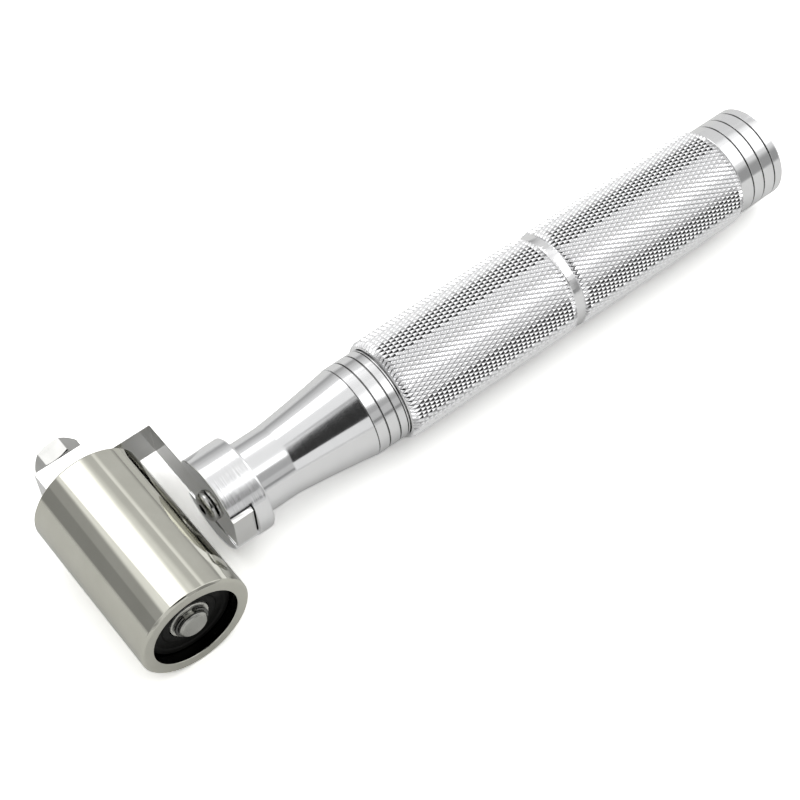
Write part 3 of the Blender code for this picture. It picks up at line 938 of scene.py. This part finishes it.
def make_floor():
    """A pale floor that the camera sees fully lit, as in a bright studio."""
    bpy.ops.mesh.primitive_plane_add(size=FLOOR_SIZE)
    floor = bpy.context.object
    floor.name = "floor"
    made = bpy.data.materials.new("floor")
    made.use_nodes = True
    tree = made.node_tree
    tree.nodes.remove(tree.nodes["Principled BSDF"])
    diffuse = node(tree, "ShaderNodeBsdfDiffuse")
    path = node(tree, "ShaderNodeLightPath")
    tint = mixed_colour(tree, path.outputs["Is Camera Ray"], FLOOR_TINT, FLOOR_SEEN)
    tree.links.new(tint, diffuse.inputs["Color"])
    tree.links.new(diffuse.outputs["BSDF"], tree.nodes["Material Output"].inputs["Surface"])
    floor.data.materials.append(made)


class Studio:
    """A world of soft panels: brightness by height above the horizon, with soft-edged panels over it."""

    def __init__(self):
        world = bpy.data.worlds.new("studio")
        bpy.context.scene.world = world
        world.use_nodes = True
        self.tree = world.node_tree
        place = node(self.tree, "ShaderNodeTexCoord")
        split = node(self.tree, "ShaderNodeSeparateXYZ")
        self.tree.links.new(place.outputs["Generated"], split.inputs["Vector"])
        height = self.math("ARCSINE", split.outputs["Z"])
        self.height = self.math("MULTIPLY", height, 180.0 / math.pi)
        bearing = self.math("ARCTAN2", split.outputs["Y"], split.outputs["X"])
        self.bearing = self.math("MULTIPLY", bearing, 180.0 / math.pi)
        self.level = None

    def math(self, operation, *values):
        made = node(self.tree, "ShaderNodeMath", operation=operation)
        for index, value in enumerate(values):
            if isinstance(value, (int, float)):
                made.inputs[index].default_value = value
            else:
                self.tree.links.new(value, made.inputs[index])
        return made.outputs["Value"]

    def smooth(self, value, low, high):
        """0 below low and 1 above high."""
        step = node(self.tree, "ShaderNodeMapRange", interpolation_type="SMOOTHSTEP")
        step.inputs["From Min"].default_value = low
        step.inputs["From Max"].default_value = high
        self.tree.links.new(value, step.inputs["Value"])
        return step.outputs["Result"]

    def by_height(self, levels):
        """The plain surroundings, from (height in degrees, brightness) pairs."""
        self.level = self.math("ADD", 0.0, levels[0][1])
        for (low, _), (high, brightness) in zip(levels, levels[1:]):
            share = self.smooth(self.height, low, high)
            self.level = self.blend(self.level, brightness, share)

    def blend(self, first, brightness, share):
        mix = node(self.tree, "ShaderNodeMix", data_type="FLOAT")
        self.tree.links.new(first, mix.inputs["A"])
        mix.inputs["B"].default_value = brightness
        self.tree.links.new(share, mix.inputs["Factor"])
        return mix.outputs["Result"]

    def panel(self, bearings, heights, brightness, side_fades, height_fades):
        """A panel between two bearings and two heights in degrees. An edge fades over twice its fade."""
        middle = 0.5 * (bearings[0] + bearings[1])
        half = bearings[1] - middle
        away = self.math("SUBTRACT", self.bearing, middle)
        away = self.math("WRAP", away, 180.0, -180.0)
        first, last = side_fades
        share = self.smooth(away, -half - first, -half + first)
        past = self.smooth(away, half - last, half + last)
        share = self.math("MULTIPLY", share, self.math("SUBTRACT", 1.0, past))
        low, high = heights
        below, above = height_fades
        share = self.math("MULTIPLY", share, self.smooth(self.height, low - below, low + below))
        top = self.math("SUBTRACT", 1.0, self.smooth(self.height, high - above, high + above))
        self.level = self.blend(self.level, brightness, self.math("MULTIPLY", share, top))

    def finish(self):
        """Lights the scene with the panels, and shows the camera a plain white behind the floor."""
        path = node(self.tree, "ShaderNodeLightPath")
        shown = node(self.tree, "ShaderNodeMix", data_type="FLOAT")
        self.tree.links.new(path.outputs["Is Camera Ray"], shown.inputs["Factor"])
        self.tree.links.new(self.level, shown.inputs["A"])
        shown.inputs["B"].default_value = 1.0
        background = self.tree.nodes["Background"]
        background.inputs["Color"].default_value = (1.0, 1.0, 0.995, 1.0)
        self.tree.links.new(shown.outputs["Result"], background.inputs["Strength"])


# Height above the horizon in degrees, and the brightness of the plain surroundings there.
SURROUNDINGS = (
    (0.0, 0.62),
    (4.0, 0.58),
    (8.0, 0.33),
    (12.0, 0.4),
    (22.0, 0.56),
    (34.0, 0.74),
    (46.0, 1.1),
    (70.0, 0.86),
)


def light_studio():
    """The room: its brightness by height, and panels laid one over the other."""
    studio = Studio()
    studio.by_height(SURROUNDINGS)
    # The grey wall to the right, dim at its foot, with a bright strip across it.
    studio.panel((26.0, 63.0), (-4.0, 50.0), 0.7, (7.0, 5.0), (3.0, 4.0))
    studio.panel((20.0, 38.0), (-8.0, 4.0), 0.42, (4.0, 4.0), (3.0, 4.0))
    studio.panel((30.0, 45.0), (34.0, 39.0), 1.15, (3.0, 3.0), (3.0, 1.0))
    # The dark wall to the left, below the big panel, and the bright strip between them.
    studio.panel((128.0, 172.0), (3.0, 42.0), 0.43, (3.0, 8.0), (1.5, 3.0))
    studio.panel((128.0, 172.0), (3.0, 26.0), 0.31, (3.0, 8.0), (1.5, 1.5))
    studio.panel((129.5, 133.0), (42.0, 54.0), 1.15, (0.8, 1.2), (3.0, 3.0))
    # The big panel at the back and the second one above the camera.
    studio.panel((66.0, 127.0), (42.0, 66.0), 2.2, (8.0, 0.8), (3.0, 4.0))
    studio.panel((-66.0, 18.0), (41.0, 67.0), 1.6, (3.0, 6.0), (5.0, 5.0))
    # The light below the second panel that the knurling picks up.
    studio.panel((-40.0, 22.0), (9.0, 40.0), 1.25, (4.0, 6.0), (4.0, 4.0))
    # The dim corner in front of the handle and the black card beside it.
    studio.panel((-79.0, -63.0), (28.0, 54.0), 0.4, (1.5, 2.0), (3.0, 4.0))
    studio.panel((-79.0, -64.0), (14.0, 28.0), 0.52, (1.5, 3.0), (2.0, 3.0))
    studio.panel((-64.0, -44.0), (2.0, 27.0), 0.32, (3.0, 6.0), (2.0, 6.0))
    studio.panel((-79.0, -64.0), (7.0, 13.0), 0.26, (1.5, 3.0), (1.5, 1.5))
    studio.panel((-124.0, -79.0), (4.0, 30.0), 0.78, (6.0, 1.5), (2.0, 2.0))
    studio.panel((-124.0, -79.0), (29.0, 80.0), 0.03, (6.0, 1.0), (1.5, 10.0))
    studio.panel((-160.0, -60.0), (80.0, 86.0), 0.4, (10.0, 8.0), (3.0, 2.0))
    studio.finish()


make_camera()
make_floor()
light_studio()
bpy.context.scene.view_settings.view_transform = "Standard"
